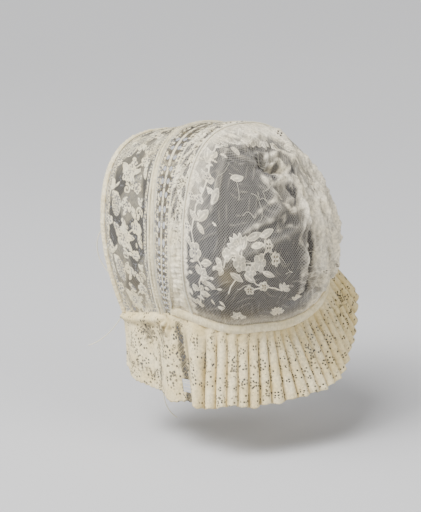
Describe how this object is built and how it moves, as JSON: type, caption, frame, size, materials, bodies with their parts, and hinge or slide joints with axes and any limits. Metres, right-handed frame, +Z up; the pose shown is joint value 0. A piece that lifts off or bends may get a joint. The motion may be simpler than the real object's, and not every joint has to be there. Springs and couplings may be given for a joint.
{
  "type": "lace cap",
  "caption": "Soft historic lace cap as worn: lace bands round the face, a gathered bag of embroidered net behind, a drawn-in nape tape and a long frill set in tube pleats.",
  "frame": {"origin": "inside of the top of the crown, where the wearer's head carries the cap", "axes": "+X the wearer's left, -Y the way the face looks, +Z up"},
  "size_m": [0.1864, 0.1917, 0.2412],
  "materials": {
    "hem_linen": "matte rolled hem",
    "figured_lace": "matte cream lace",
    "plain_tape": "matte fine linen",
    "embroidered_net": "matte sheer net",
    "frill_lace": "matte starched lace, yellowed",
    "thread": "matte thread"
  },
  "bodies": {
    "root": {"front_hem": "hem_linen", "front_lace_band": "figured_lace", "tuck_tape": "plain_tape", "lace_insertion": "figured_lace", "crown_tape": "plain_tape", "crown_net": "embroidered_net", "neck_tape": "plain_tape", "neck_ruffle": "frill_lace", "edge_thread_loop": "thread", "ear_thread": "thread", "ruffle_thread": "thread"}
  },
  "joints": []
}
